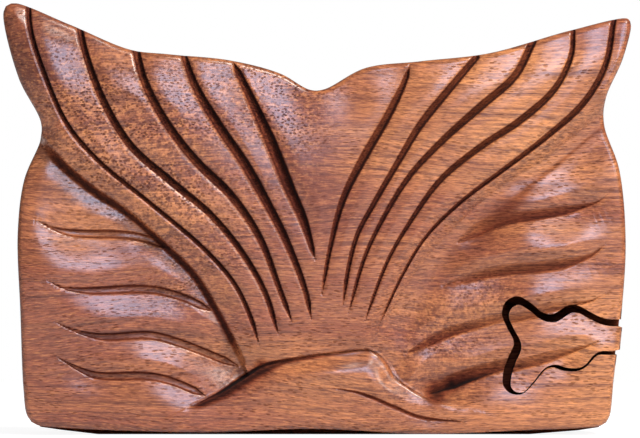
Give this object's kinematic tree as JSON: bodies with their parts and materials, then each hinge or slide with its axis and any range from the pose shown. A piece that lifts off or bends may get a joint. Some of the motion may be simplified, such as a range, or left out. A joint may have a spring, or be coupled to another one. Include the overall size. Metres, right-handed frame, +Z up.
{
  "type": "puzzle box",
  "caption": "Wooden puzzle box with a whale-tail relief on a thick lid; a jigsaw-cut key lifts out of the lid, which then swings up on a hidden dowel.",
  "frame": {"origin": "middle of the bottom of the bounding box, on the surface that the box stands on", "axes": "+Z up; +X to the right as one looks at the carved face; the carved face looks along -Y and the glued back along +Y"},
  "size_m": [0.1517, 0.0476, 0.1044],
  "materials": {
    "lid_wood": "satin lacquer over reddish-brown open-pored hardwood, grain along X",
    "key_wood": "satin lacquer, as the lid's golden grain at its right edge",
    "body_wood": "satin lacquer, as the lid",
    "dowel_wood": "bare pale hardwood",
    "steel": "turned, plain",
    "magnet": "nickel plated",
    "felt": "short black wool felt"
  },
  "bodies": {
    "box": {"box_body": "body_wood", "back_panel": "body_wood", "pivot_plug": "dowel_wood", "stop_pin": "steel", "seat_magnet": "magnet", "floor_lining": "felt", "wall_lining": "felt"},
    "lid": {"carved_lid": "lid_wood", "pivot_dowel": "dowel_wood", "pivot_washer": "steel", "pivot_screw": "steel"},
    "key": {"lock_key": "key_wood", "key_magnet": "magnet"}
  },
  "joints": [
    {"name": "lid_swing", "type": "hinge", "parent": "box", "child": "lid", "pos_m": [-0.05928, 0, 0.08624], "axis": [0, -1, 0], "range_deg": [0, 90]},
    {"name": "key_slide", "type": "slide", "parent": "lid", "child": "key", "axis": [0, -1, 0], "range_m": [0, 0.03]}
  ]
}
